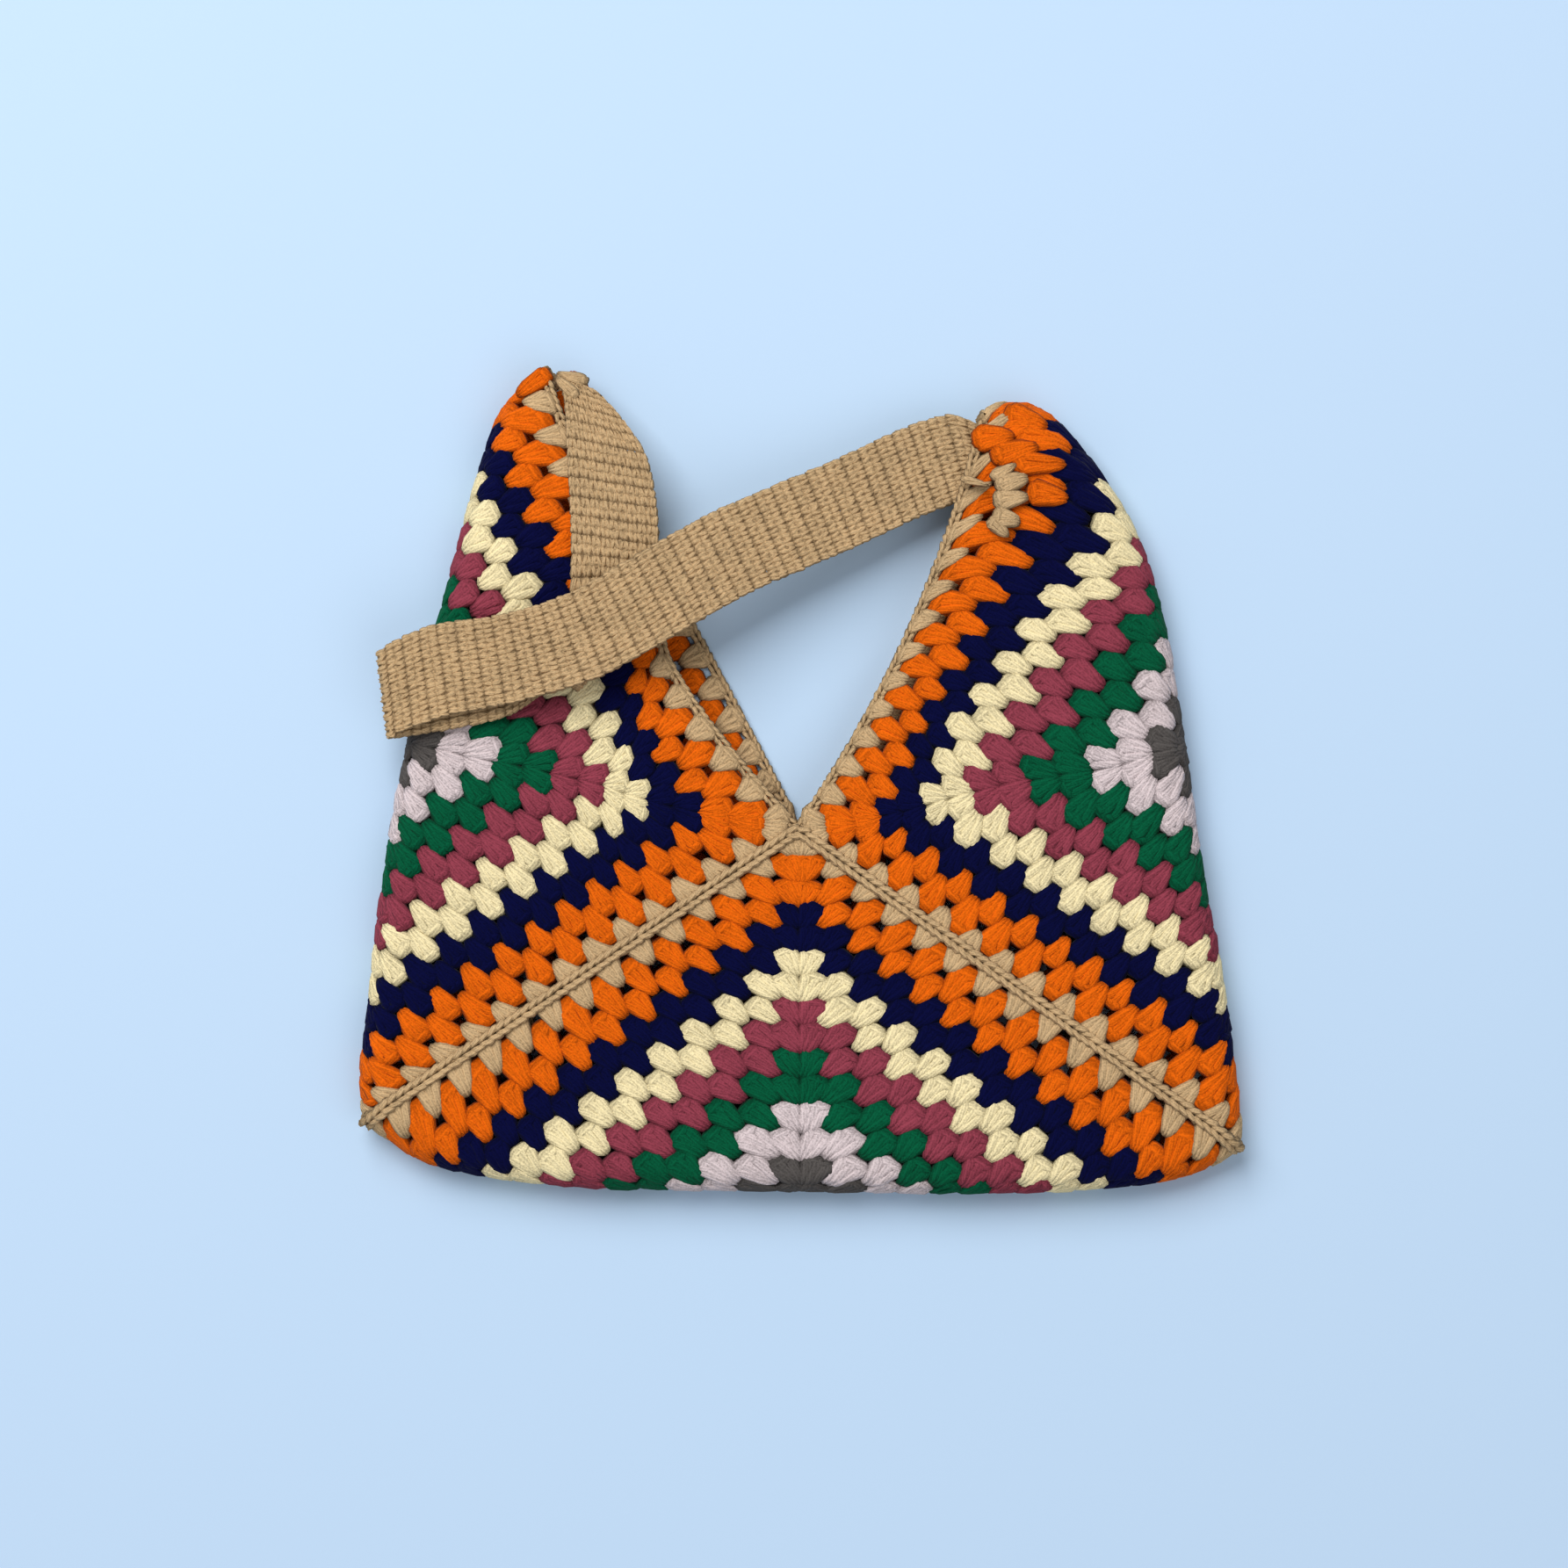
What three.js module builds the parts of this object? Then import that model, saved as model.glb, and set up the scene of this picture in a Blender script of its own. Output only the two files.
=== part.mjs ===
// A crochet shoulder bag of three granny squares, lying on its back.
// Each square is folded in half on its diagonal. The bottom square folds round
// the bottom edge, and the two side squares fold round the sides. A seam joins
// the bottom square to the side squares, an edging runs round the V-shaped
// mouth, and one flat strap runs from tip to tip and lies folded over the bag.
// Millimetres, +X to the right, +Y towards the tips, +Z up off the table.
import * as THREE from 'three';

// Driving dimensions
const BAG_WIDTH = 444;
const BAG_HEIGHT = 417;
const SQUARE_SIDE = 265;
const FABRIC_THICKNESS = 6;
const ROLL_RADIUS = 11;
const MOUTH_SAG = 0.3;
const SEAM_WIDTH = 7;
const SEAM_PROUD = 1;
const EDGING_WIDTH = 6;
const STRAP_WIDTH = 42;
const STRAP_THICKNESS = 5;
const STRAP_FOLD_RADIUS = 3.2;
const CLEARANCE = 0.35;

// How finely the faceted solids follow the curves
const SQUARE_STEPS = 24;
const STRAP_STEPS = 4;
const FOLD_STEPS = 4;

// Where the squares meet, from the middle of the bag, as shares of its width and height
const POINTS = {
  leftCorner: { across: -0.4895, up: -0.4095 },
  rightCorner: { across: 0.4945, up: -0.4415 },
  leftTip: { across: -0.2884, up: 0.4921 },
  rightTip: { across: 0.209, up: 0.4395 },
  throat: { across: -0.003, up: -0.0615 },
};

// How far each fold line stands out from the straight line between its ends.
// along is the share of the fabric's own diagonal, out is square to the line and
// slide is along it, both as shares of its length.
const LEFT_FOLD = [
  { along: 0, out: 0, slide: 0 },
  { along: 0.06, out: 0.037, slide: 0 },
  { along: 0.14, out: 0.049, slide: 0 },
  { along: 0.3, out: 0.055, slide: 0 },
  { along: 0.5, out: 0.059, slide: 0 },
  { along: 0.7, out: 0.047, slide: 0 },
  { along: 0.85, out: 0.03, slide: 0 },
  { along: 0.95, out: 0.017, slide: 0 },
  { along: 1, out: 0, slide: 0 },
];
const RIGHT_FOLD = [
  { along: 0, out: 0, slide: 0 },
  { along: 0.04, out: 0.033, slide: -0.04 },
  { along: 0.1, out: 0.075, slide: -0.07 },
  { along: 0.167, out: 0.113, slide: -0.045 },
  { along: 0.25, out: 0.132, slide: -0.02 },
  { along: 0.36, out: 0.123, slide: 0 },
  { along: 0.5, out: 0.098, slide: 0 },
  { along: 0.65, out: 0.07, slide: 0 },
  { along: 0.8, out: 0.046, slide: 0 },
  { along: 0.93, out: 0.02, slide: 0 },
  { along: 1, out: 0, slide: 0 },
];
const BOTTOM_FOLD = [
  { along: 0, out: 0, slide: 0 },
  { along: 0.06, out: 0.04, slide: 0 },
  { along: 0.13, out: 0.057, slide: 0 },
  { along: 0.25, out: 0.067, slide: 0 },
  { along: 0.5, out: 0.064, slide: 0 },
  { along: 0.75, out: 0.058, slide: 0 },
  { along: 0.9, out: 0.043, slide: 0 },
  { along: 0.96, out: 0.025, slide: 0 },
  { along: 1, out: 0, slide: 0 },
];

// The three squares. first and last name the ends of the fold line. The mouth
// bows say how far each layer's mouth edge swings from straight, as shares of
// the bag's width and height, where the square has a mouth edge.
const STRAIGHT = { across: 0, up: 0 };
const SQUARES = {
  bottom_square: {
    first: 'leftCorner',
    last: 'rightCorner',
    fold: BOTTOM_FOLD,
    outward: -1,
    frontBow: STRAIGHT,
    backBow: STRAIGHT,
  },
  left_square: {
    first: 'leftTip',
    last: 'leftCorner',
    fold: LEFT_FOLD,
    outward: -1,
    frontBow: { across: -0.04, up: -0.01 },
    backBow: { across: 0.004, up: 0.004 },
  },
  right_square: {
    first: 'rightTip',
    last: 'rightCorner',
    fold: RIGHT_FOLD,
    outward: 1,
    frontBow: { across: 0.022, up: -0.012 },
    backBow: { across: 0.028, up: -0.014 },
  },
};

// The strap as stations from the left tip to the right tip. across and up place
// its middle as shares of the bag's width and height, turn is the direction of
// the line across the strap in degrees, wide is that line's length as a share
// of the strap's width, and lift counts layers of strap above the bag's front.
const STRAP_LEG_DOWN = [
  { across: -0.2537, up: 0.4765, turn: -25, wide: 0.4, lift: -1.95 },
  { across: -0.233, up: 0.4455, turn: -18, wide: 0.56, lift: -1 },
  { across: -0.216, up: 0.3975, turn: -12, wide: 0.86, lift: 0.15 },
  { across: -0.21, up: 0.3285, turn: -8, wide: 1, lift: 0 },
  { across: -0.208, up: 0.2625, turn: -6, wide: 1, lift: 0 },
  { across: -0.208, up: 0.2055, turn: 18, wide: 1.1, lift: 0 },
  { across: -0.208, up: 0.1635, turn: 45, wide: 1.41, lift: 0 },
];
const STRAP_LEG_LEFT = [
  { across: -0.208, up: 0.1635, turn: 45, wide: 1.41, lift: 1 },
  { across: -0.244, up: 0.1635, turn: 66, wide: 1.12, lift: 1 },
  { across: -0.281, up: 0.1525, turn: 80, wide: 1, lift: 0.7 },
  { across: -0.336, up: 0.1275, turn: 99, wide: 1, lift: 0.1 },
  { across: -0.396, up: 0.1125, turn: 98, wide: 1, lift: 0 },
  { across: -0.459, up: 0.1015, turn: 97, wide: 1, lift: 0 },
];
const STRAP_LEG_ACROSS = [
  { across: -0.459, up: 0.1065, turn: 97, wide: 1, lift: 1 },
  { across: -0.406, up: 0.1285, turn: 98, wide: 1.04, lift: 1.1 },
  { across: -0.331, up: 0.1425, turn: 100, wide: 1, lift: 1.4 },
  { across: -0.251, up: 0.1665, turn: 110, wide: 1, lift: 2.1 },
  { across: -0.196, up: 0.1965, turn: 116, wide: 1, lift: 2.15 },
  { across: -0.136, up: 0.2345, turn: 117, wide: 1, lift: 1.9 },
  { across: -0.066, up: 0.2755, turn: 115, wide: 1, lift: 1.1 },
  { across: 0.049, up: 0.3295, turn: 111, wide: 1, lift: -0.4 },
  { across: 0.124, up: 0.3675, turn: 109, wide: 1, lift: -1.3 },
  { across: 0.167, up: 0.3845, turn: 107, wide: 0.97, lift: -1.85 },
  { across: 0.192, up: 0.3885, turn: 106, wide: 0.76, lift: -1.97 },
  { across: 0.22, up: 0.3845, turn: 104, wide: 0.42, lift: -1.97 },
];

// Colours of the yarns
const NAVY_YARN = '#14163f';
const ORANGE_YARN = '#d9600f';
const CREAM_YARN = '#e3d59a';
const BEIGE_YARN = '#b39a72';

// A smooth line through the rows of a short table of offsets: the value of one
// column at a share of the way along.
function tableValue(rows, column, along) {
  const share = THREE.MathUtils.clamp(along, 0, 1);
  const last = rows.length - 2;
  const here = Math.min(rows.findLastIndex((row) => row.along <= share), last);
  const slopeAt = (place) => {
    const before = rows[Math.max(place - 1, 0)];
    const after = rows[Math.min(place + 1, rows.length - 1)];
    return (after[column] - before[column]) / (after.along - before.along);
  };
  const [start, end] = [rows[here], rows[here + 1]];
  const step = end.along - start.along;
  const u = (share - start.along) / step;
  const rise = (3 - 2 * u) * u * u;
  const bend = step * u * (1 - u) * ((1 - u) * slopeAt(here) - u * slopeAt(here + 1));
  return THREE.MathUtils.lerp(start[column], end[column], rise) + bend;
}

function flatPoint(place) {
  return new THREE.Vector2(place.across * BAG_WIDTH, place.up * BAG_HEIGHT);
}

// The fabric's turn round a fold. depth runs from -1 at the back throat through
// 0 on the fold line to 1 at the front throat. reach is the share of the way to
// the throat seen from above, and height is the middle of the fabric.
function foldProfile(depth) {
  const slope = Math.abs(depth) * (SQUARE_SIDE / Math.SQRT2);
  const fullReach = SQUARE_SIDE / Math.SQRT2 + ROLL_RADIUS * (1 - Math.PI / 2);
  const angle = Math.min(slope / ROLL_RADIUS, Math.PI / 2);
  const beyondRoll = Math.max(slope - ROLL_RADIUS * (Math.PI / 2), 0);
  const reach = (ROLL_RADIUS * (1 - Math.cos(angle)) + beyondRoll) / fullReach;
  const middle = FABRIC_THICKNESS / 2 + ROLL_RADIUS;
  const sag = depth > 0 ? 1 - MOUTH_SAG * depth * depth : 1;
  const height = middle + Math.sign(depth) * ROLL_RADIUS * Math.sin(angle) * sag;
  return { reach, height };
}

// A point of a square's middle surface. a and b run from 0 to 1 along its sides:
// the front throat is (1, 1), the back throat (0, 0), and the fold line runs
// from (0, 1) to (1, 0).
function squarePoint(square, a, b) {
  const depth = a + b - 1;
  const isFront = depth >= 0;
  const { reach, height } = foldProfile(depth);
  const flatness = 1 - Math.abs(depth);
  const nearFirst = isFront ? 1 - a : b;
  const nearLast = isFront ? 1 - b : a;
  const scale = flatness > 1e-9 ? (1 - reach) / flatness : 1;
  const first = flatPoint(POINTS[square.first]);
  const last = flatPoint(POINTS[square.last]);
  const throat = flatPoint(POINTS.throat);
  const chord = last.clone().sub(first);
  const outward = new THREE.Vector2(-chord.y, chord.x).multiplyScalar(square.outward);
  const along = flatness > 1e-9 ? nearLast / flatness : 0;
  const out = tableValue(square.fold, 'out', along);
  const slide = tableValue(square.fold, 'slide', along);
  const bow = flatPoint(isFront ? square.frontBow : square.backBow);
  const point = new THREE.Vector2();
  point.addScaledVector(first, nearFirst * scale);
  point.addScaledVector(last, nearLast * scale);
  point.addScaledVector(throat, reach);
  point.addScaledVector(outward, out * (1 - reach) ** 2);
  point.addScaledVector(chord, slide * (1 - reach) ** 2);
  point.addScaledVector(bow, 4 * reach * nearFirst * scale);
  return new THREE.Vector3(point.x, point.y, height);
}

// The direction out of the fabric at a point of a square, found by small steps.
function squareNormal(square, a, b) {
  const step = 0.001;
  const alongA = squarePoint(square, a + step, b).sub(squarePoint(square, a - step, b));
  const alongB = squarePoint(square, a, b + step).sub(squarePoint(square, a, b - step));
  const normal = alongA.cross(alongB).normalize();
  return normal.multiplyScalar(square.facing);
}

function fabricPoint(square, a, b, lift) {
  const point = squarePoint(square, a, b);
  return point.addScaledVector(squareNormal(square, a, b), lift);
}

// Gives each square the sign that turns its normals out.
function prepareSquares() {
  for (const square of Object.values(SQUARES)) {
    square.facing = 1;
    const frontNormal = squareNormal(square, 0.8, 0.8);
    square.facing = Math.sign(frontNormal.z);
  }
}

// Adds a four-sided face, split along its shorter diagonal, so that two walls
// that face each other across a gap are split alike.
function addQuad(indices, points, p, q, r, s) {
  if (points[p].distanceTo(points[r]) < points[q].distanceTo(points[s])) {
    indices.push(p, q, r, p, r, s);
  } else {
    indices.push(q, r, s, q, s, p);
  }
}

// A closed body from rings of points, each ring one section. A loop joins the
// last section to the first, and an open run is closed by a cap at each end.
function bodyFromSections(sections, isLoop) {
  const count = sections[0].length;
  const points = sections.flat();
  const indices = [];
  const runs = isLoop ? sections.length : sections.length - 1;
  for (let run = 0; run < runs; run += 1) {
    const here = run * count;
    const next = ((run + 1) % sections.length) * count;
    for (let corner = 0; corner < count; corner += 1) {
      const other = (corner + 1) % count;
      addQuad(indices, points, here + corner, here + other, next + other, next + corner);
    }
  }
  if (!isLoop) {
    const end = (sections.length - 1) * count;
    for (let corner = 1; corner < count - 1; corner += 1) {
      indices.push(0, corner + 1, corner);
      indices.push(end, end + corner, end + corner + 1);
    }
  }
  return outwardGeometry(points, indices);
}

// Turns a closed body right side out by the sign of its volume.
function outwardGeometry(points, indices) {
  let volume = 0;
  for (let face = 0; face < indices.length; face += 3) {
    const [p, q, r] = indices.slice(face, face + 3).map((index) => points[index]);
    volume += p.dot(q.clone().cross(r));
  }
  if (volume < 0) {
    indices.reverse();
  }
  const geometry = new THREE.BufferGeometry().setFromPoints(points);
  geometry.setIndex(indices);
  geometry.computeVertexNormals();
  return geometry;
}

// The grid lines of a square as shares of its side, from one border to the
// other. The seam and the edging have their sections on the same lines, so
// that their facets turn together with the square's.
const BORDER = (SEAM_WIDTH / 2 + CLEARANCE) / SQUARE_SIDE;
const GRID_LINES = [];
for (let line = 0; line <= SQUARE_STEPS; line += 1) {
  GRID_LINES.push(THREE.MathUtils.lerp(BORDER, 1 - BORDER, line / SQUARE_STEPS));
}

// One folded granny square, as a wall of even thickness that stops short of the
// seams and of the mouth edging.
function squareGeometry(square) {
  const points = [];
  const indices = [];
  const row = GRID_LINES.length;
  for (const lift of [FABRIC_THICKNESS / 2, -FABRIC_THICKNESS / 2]) {
    for (const a of GRID_LINES) {
      for (const b of GRID_LINES) {
        points.push(fabricPoint(square, a, b, lift));
      }
    }
  }
  const innerStart = row * row;
  const split = (p, q, r, s) => indices.push(p, q, r, p, r, s);
  for (let i = 0; i < SQUARE_STEPS; i += 1) {
    for (let j = 0; j < SQUARE_STEPS; j += 1) {
      const here = i * row + j;
      split(here + row, here + row + 1, here + 1, here);
      const inner = innerStart + here;
      split(inner + 1, inner + row + 1, inner + row, inner);
    }
  }
  const rim = [];
  for (let i = 0; i < SQUARE_STEPS; i += 1) {
    rim.push(i * row);
  }
  for (let j = 0; j < SQUARE_STEPS; j += 1) {
    rim.push(SQUARE_STEPS * row + j);
  }
  for (let i = SQUARE_STEPS; i > 0; i -= 1) {
    rim.push(i * row + SQUARE_STEPS);
  }
  for (let j = SQUARE_STEPS; j > 0; j -= 1) {
    rim.push(j);
  }
  rim.forEach((here, place) => {
    const next = rim[(place + 1) % rim.length];
    addQuad(indices, points, here, innerStart + here, innerStart + next, next);
  });
  return outwardGeometry(points, indices);
}

// The four runs of the seam loop, each with the side square and the place where
// a point of its edge lies in the side square and in the bottom square. away is
// the share of a side by which the point stands back from the shared edge.
const SEAM_RUNS = [
  {
    side: 'left_square',
    sidePlace: (depth, away) => [1 - away, depth],
    bottomPlace: (depth, away) => [depth, 1 - away],
    rising: true,
  },
  {
    side: 'right_square',
    sidePlace: (depth, away) => [1 - away, depth],
    bottomPlace: (depth, away) => [1 - away, depth],
    rising: false,
  },
  {
    side: 'right_square',
    sidePlace: (depth, away) => [1 - depth, away],
    bottomPlace: (depth, away) => [1 - depth, away],
    rising: true,
  },
  {
    side: 'left_square',
    sidePlace: (depth, away) => [1 - depth, away],
    bottomPlace: (depth, away) => [away, 1 - depth],
    rising: false,
  },
];

// The seam that joins the bottom square to both side squares: one rope that runs
// over the front, round the right corner, over the back and round the left one.
function seamGeometry() {
  const away = SEAM_WIDTH / 2 / SQUARE_SIDE;
  const top = FABRIC_THICKNESS / 2;
  const bottom = SQUARES.bottom_square;
  const sections = [];
  SEAM_RUNS.forEach((run, number) => {
    const side = SQUARES[run.side];
    const isFront = number < 2;
    const proud = isFront ? SEAM_PROUD : 0;
    for (const line of GRID_LINES) {
      const depth = run.rising ? line : 1 - line;
      const sideAt = run.sidePlace(depth, away);
      const bottomAt = run.bottomPlace(depth, away);
      const middleAt = run.bottomPlace(depth, 0);
      sections.push([
        fabricPoint(side, ...sideAt, top),
        fabricPoint(bottom, ...middleAt, top + proud),
        fabricPoint(bottom, ...bottomAt, top),
        fabricPoint(bottom, ...bottomAt, -top),
        fabricPoint(bottom, ...middleAt, -top),
        fabricPoint(side, ...sideAt, -top),
      ]);
    }
    sections.push(run.rising ? throatSection(isFront, away, proud) : cornerSection(number, away));
  });
  return bodyFromSections(sections, true);
}

// The seam's mitred section where it passes under the mouth.
function throatSection(isFront, away, proud) {
  const top = FABRIC_THICKNESS / 2;
  const bottom = SQUARES.bottom_square;
  const throat = isFront ? [1, 1] : [0, 0];
  const below = isFront ? [1 - away, 1 - away] : [away, away];
  const above = (lift) => {
    const place = isFront ? [1 - away, 1 + away / 2] : [-away / 2, away];
    const left = fabricPoint(SQUARES.left_square, ...place, lift);
    const right = fabricPoint(SQUARES.right_square, ...place, lift);
    return left.lerp(right, 1 / 2);
  };
  return [
    above(top),
    fabricPoint(bottom, ...throat, top + proud),
    fabricPoint(bottom, ...below, top),
    fabricPoint(bottom, ...below, -top),
    fabricPoint(bottom, ...throat, -top),
    above(-top),
  ];
}

// The seam's section at a bottom corner of the bag, where front meets back.
function cornerSection(number, away) {
  const top = FABRIC_THICKNESS / 2;
  const side = SQUARES[SEAM_RUNS[number].side];
  const bottom = SQUARES.bottom_square;
  const isRight = number === 1;
  const corner = isRight ? [1, 0] : [0, 1];
  const inBottom = isRight ? [1 - away, away] : [away, 1 - away];
  const inSide = [1 - away, away];
  return [
    fabricPoint(side, ...inSide, top),
    fabricPoint(bottom, ...corner, top),
    fabricPoint(bottom, ...inBottom, top),
    fabricPoint(bottom, ...inBottom, -top),
    fabricPoint(bottom, ...corner, -top),
    fabricPoint(side, ...inSide, -top),
  ];
}


// A section of the mouth edging from the places of its inner and outer rims.
function edgingSection(square, inner, outer) {
  const top = FABRIC_THICKNESS / 2;
  return [
    fabricPoint(square, ...inner, top),
    fabricPoint(square, ...outer, top),
    fabricPoint(square, ...outer, -top),
    fabricPoint(square, ...inner, -top),
  ];
}

// The edging round the mouth: down the left front edge to the throat, up to the
// right tip, over the tip to the back, and back to the left tip.
function edgingGeometry() {
  const inside = SEAM_WIDTH / 2 / SQUARE_SIDE;
  const outside = (EDGING_WIDTH - SEAM_WIDTH / 2) / SQUARE_SIDE;
  const left = SQUARES.left_square;
  const right = SQUARES.right_square;
  const frontAt = (depth, away) => [depth, 1 - away];
  const backAt = (depth, away) => [away, 1 - depth];
  const tip = (square) => edgingSection(square, [inside, 1 - inside], [-outside, 1 + outside]);
  const run = (square, placeAt, isToThroat) => {
    const sections = [];
    for (const line of GRID_LINES) {
      const depth = isToThroat ? line : 1 - line;
      sections.push(edgingSection(square, placeAt(depth, inside), placeAt(depth, -outside)));
    }
    return sections;
  };
  const throat = (placeAt) => {
    const low = (SEAM_WIDTH / 2 + CLEARANCE) / SQUARE_SIDE;
    const high = low + EDGING_WIDTH / SQUARE_SIDE;
    const places = [placeAt(1 - low, -low / 2), placeAt(1 - high, -high / 2)];
    const onLeft = edgingSection(left, ...places);
    const onRight = edgingSection(right, ...places);
    return onLeft.map((point, corner) => point.lerp(onRight[corner], 1 / 2));
  };
  const sections = [
    tip(left),
    ...run(left, frontAt, true),
    throat(frontAt),
    ...run(right, frontAt, false),
    tip(right),
    ...run(right, backAt, true),
    throat(backAt),
    ...run(left, backAt, false),
  ];
  return bodyFromSections(sections, true);
}

// Both ends of the line across the strap at one station.
function strapRow(station) {
  const layer = 2 * STRAP_FOLD_RADIUS;
  const onFront = FABRIC_THICKNESS + 2 * ROLL_RADIUS + CLEARANCE + STRAP_THICKNESS / 2;
  const middle = flatPoint(station);
  const angle = THREE.MathUtils.degToRad(station.turn);
  const reach = (station.wide * STRAP_WIDTH) / 2;
  const across = new THREE.Vector3(Math.cos(angle) * reach, Math.sin(angle) * reach, 0);
  const centre = new THREE.Vector3(middle.x, middle.y, onFront + station.lift * layer);
  return [centre.clone().sub(across), centre.clone().add(across)];
}

// One leg of the strap, with smooth lines through both ends of its stations.
function strapLeg(stations) {
  const rows = stations.map(strapRow);
  const edges = [0, 1].map((end) => {
    const points = rows.map((row) => row[end]);
    return new THREE.CatmullRomCurve3(points, false, 'centripetal');
  });
  const smooth = [];
  const count = (stations.length - 1) * STRAP_STEPS;
  for (let step = 0; step <= count; step += 1) {
    smooth.push(edges.map((edge) => edge.getPoint(step / count)));
  }
  return smooth;
}

// The half turn that takes the strap from one layer up to the next, on the side
// of the line across it that heading points to.
function strapFold(row, heading) {
  const across = row[1].clone().sub(row[0]).normalize();
  const outward = new THREE.Vector3(across.y, -across.x, 0);
  outward.multiplyScalar(Math.sign(outward.dot(heading)));
  const turn = [];
  for (let step = 1; step < FOLD_STEPS; step += 1) {
    const angle = (Math.PI * step) / FOLD_STEPS;
    const rise = STRAP_FOLD_RADIUS * (1 - Math.cos(angle));
    const move = outward.clone().multiplyScalar(STRAP_FOLD_RADIUS * Math.sin(angle));
    move.z = rise;
    turn.push(row.map((point) => point.clone().add(move)));
  }
  return turn;
}

function strapGeometry() {
  const legDown = strapLeg(STRAP_LEG_DOWN);
  const legLeft = strapLeg(STRAP_LEG_LEFT);
  const legAcross = strapLeg(STRAP_LEG_ACROSS);
  const rows = [
    ...legDown,
    ...strapFold(legDown.at(-1), new THREE.Vector3(1, -1, 0)),
    ...legLeft,
    ...strapFold(legLeft.at(-1), new THREE.Vector3(-1, 0, 0)),
    ...legAcross,
  ];
  const middles = rows.map((row) => row[0].clone().add(row[1]).multiplyScalar(1 / 2));
  const sections = rows.map((row, number) => {
    const before = middles[Math.max(number - 1, 0)];
    const after = middles[Math.min(number + 1, rows.length - 1)];
    const across = row[1].clone().sub(row[0]);
    const up = across.cross(after.clone().sub(before)).normalize();
    up.multiplyScalar(STRAP_THICKNESS / 2);
    return [
      row[0].clone().add(up),
      row[1].clone().add(up),
      row[1].clone().sub(up),
      row[0].clone().sub(up),
    ];
  });
  return bodyFromSections(sections, false);
}

function addPiece(group, name, geometry, colour) {
  const material = new THREE.MeshStandardMaterial({ color: colour, roughness: 0.9, metalness: 0 });
  const piece = new THREE.Mesh(geometry, material);
  piece.name = name;
  group.add(piece);
}

prepareSquares();
const bag = new THREE.Group();
addPiece(bag, 'bottom_square', squareGeometry(SQUARES.bottom_square), ORANGE_YARN);
addPiece(bag, 'left_square', squareGeometry(SQUARES.left_square), NAVY_YARN);
addPiece(bag, 'right_square', squareGeometry(SQUARES.right_square), CREAM_YARN);
addPiece(bag, 'joining_seam', seamGeometry(), BEIGE_YARN);
addPiece(bag, 'mouth_edging', edgingGeometry(), BEIGE_YARN);
addPiece(bag, 'strap', strapGeometry(), BEIGE_YARN);

export default bag;
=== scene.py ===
# %% [markdown]
# # A crochet granny bag
# The bag is made of three granny squares, each folded in half on its diagonal, with
# a seam, an edging round the mouth and one flat strap. It lies on its back and is
# seen from straight above. Crochet could be faked with a picture on a smooth sheet,
# but its look comes from thick stitches that shade one another. So this lesson
# models one stitch of each kind, copies it by the hundred in a flat plan, and then
# folds the plan into the shape of the bag.

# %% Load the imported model
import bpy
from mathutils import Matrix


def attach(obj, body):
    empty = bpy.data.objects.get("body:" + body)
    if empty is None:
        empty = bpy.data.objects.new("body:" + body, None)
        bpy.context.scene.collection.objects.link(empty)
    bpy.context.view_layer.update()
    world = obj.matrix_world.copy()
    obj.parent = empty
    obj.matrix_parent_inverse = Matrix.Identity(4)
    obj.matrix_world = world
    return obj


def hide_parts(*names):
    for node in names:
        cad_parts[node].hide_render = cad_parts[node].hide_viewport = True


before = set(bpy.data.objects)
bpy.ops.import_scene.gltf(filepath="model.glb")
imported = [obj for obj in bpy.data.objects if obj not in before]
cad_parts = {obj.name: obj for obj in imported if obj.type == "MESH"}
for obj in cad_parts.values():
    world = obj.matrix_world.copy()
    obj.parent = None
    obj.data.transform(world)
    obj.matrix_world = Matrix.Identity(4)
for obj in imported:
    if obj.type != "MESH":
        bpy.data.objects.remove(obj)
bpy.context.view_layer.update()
print("packed nodes:", sorted(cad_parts))

# %% Other modules
import math

import bmesh
import bpy
import numpy as np
from mathutils import Matrix, Vector

MM = 0.001

# %% [markdown]
# ## Sizes of the bag
# These are the sizes that the solid model was built from, in metres. A granny square
# grows in rounds from its middle. Round n has n clusters of three trebles on each
# side, and a cluster is twice as wide as a round is high, so 15 rounds make a square.

# %% Driving sizes
BAG_WIDTH = 444 * MM
BAG_HEIGHT = 417 * MM
SQUARE_SIDE = 265 * MM
FABRIC_THICKNESS = 6 * MM
ROLL_RADIUS = 11 * MM
MOUTH_SAG = 0.3
STRAP_WIDTH = 42 * MM
STRAP_THICKNESS = 5 * MM
STRAP_FOLD_RADIUS = 3.2 * MM
CLEARANCE = 0.35 * MM

ROUND_YARNS = (
    ["grey"] * 2 + ["lilac"] * 2 + ["green"] * 2 + ["maroon"] * 2
    + ["cream"] * 2 + ["navy"] * 2 + ["orange"] * 2 + ["beige"]
)
ROUND_HEIGHT = SQUARE_SIDE / 2 / len(ROUND_YARNS)
CLUSTER_WIDTH = 2 * ROUND_HEIGHT
print("rounds:", len(ROUND_YARNS), "cluster width mm:", round(CLUSTER_WIDTH / MM, 1))

# %% Where the squares meet, as shares of the bag's width and height
POINTS = {
    "left_corner": (-0.4895, -0.4095),
    "right_corner": (0.4945, -0.4415),
    "left_tip": (-0.2884, 0.4921),
    "right_tip": (0.209, 0.4395),
    "throat": (-0.003, -0.0615),
}
fold_width = (POINTS["right_corner"][0] - POINTS["left_corner"][0]) * BAG_WIDTH
print("bottom fold, straight across, mm:", round(fold_width / MM))

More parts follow.
